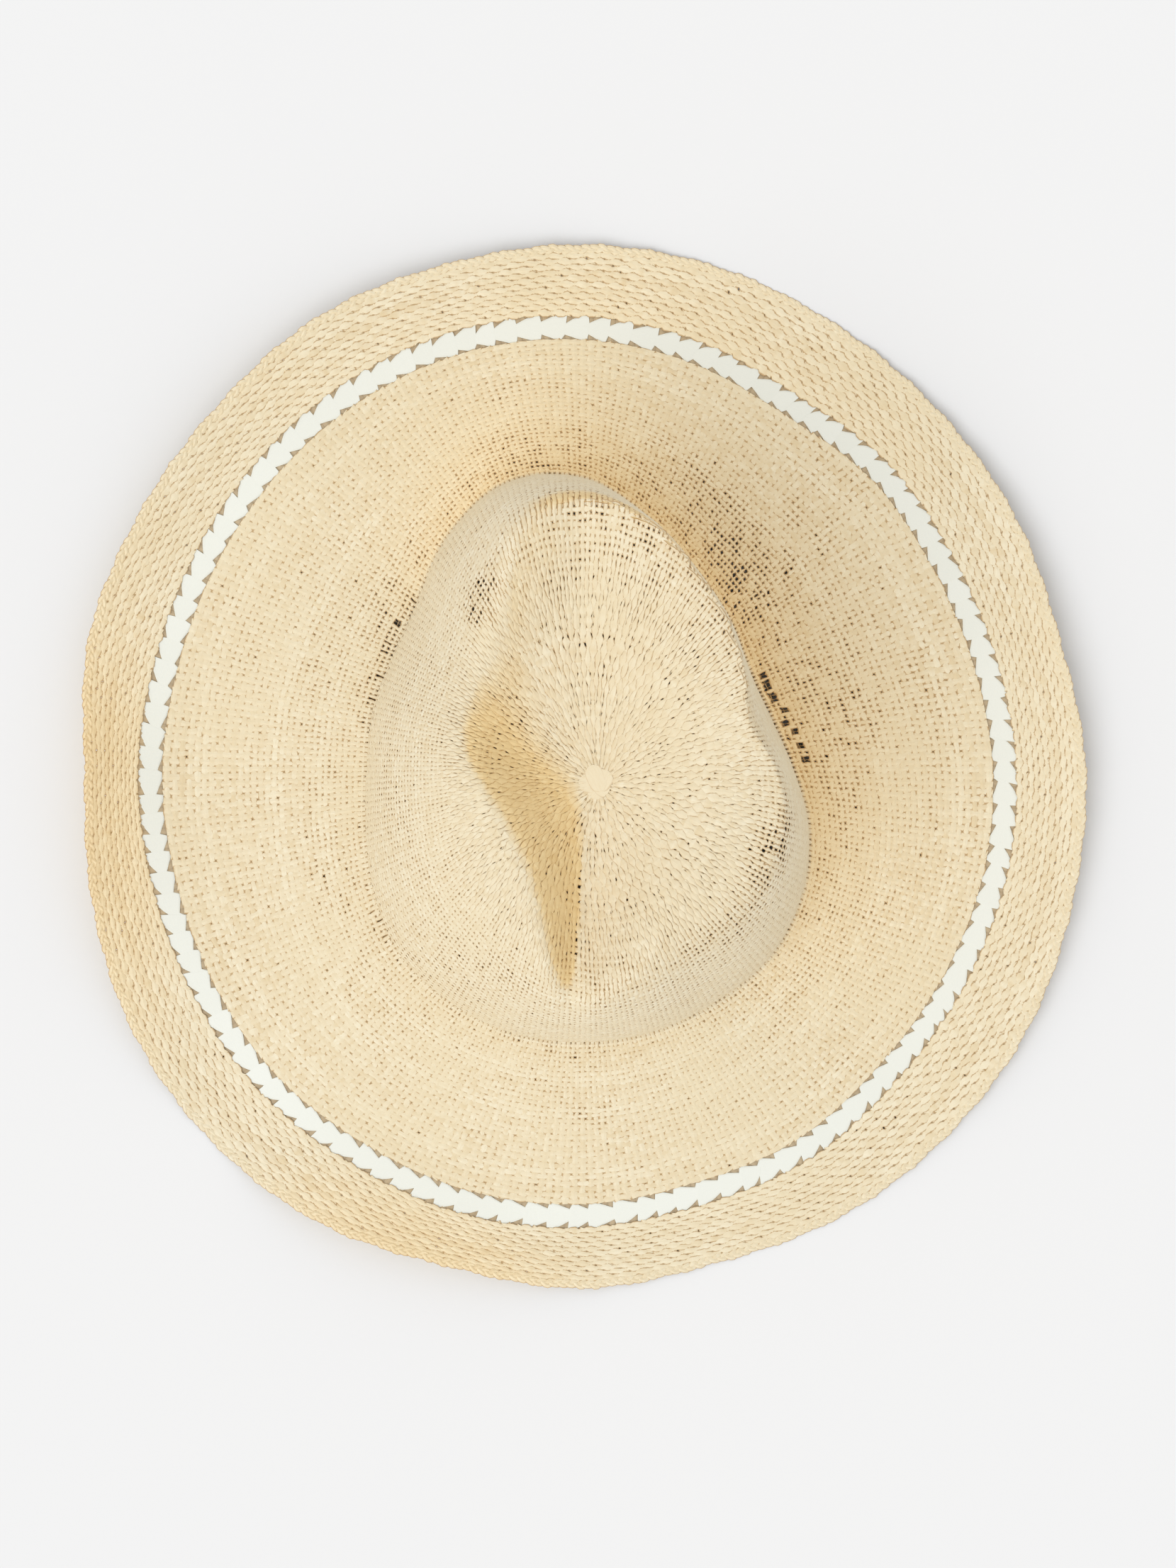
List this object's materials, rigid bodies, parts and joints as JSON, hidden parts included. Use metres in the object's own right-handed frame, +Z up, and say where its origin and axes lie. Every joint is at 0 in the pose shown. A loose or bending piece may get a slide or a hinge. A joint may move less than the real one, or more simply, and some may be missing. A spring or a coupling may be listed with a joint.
{
  "type": "wide-brim hat",
  "caption": "Wide-brim sun hat of woven paper straw, its crown dented and pinched at the front, with a white zigzag plait let into the brim.",
  "frame": {"origin": "on the surface that the brim rests on, under the middle of the hat's outline", "axes": "+Z up through the crown, the pinched front of the crown towards -Y, the wearer's left towards +X"},
  "size_m": [0.3634, 0.38, 0.1106],
  "materials": {
    "straw": "matt woven paper straw, pale natural colour",
    "white_straw": "smooth flat white paper straw, slight sheen"
  },
  "bodies": {
    "root": {"crown_top": "straw", "crown_side": "straw", "inner_brim": "straw", "zigzag_trim": "white_straw", "outer_brim": "straw"}
  },
  "joints": []
}
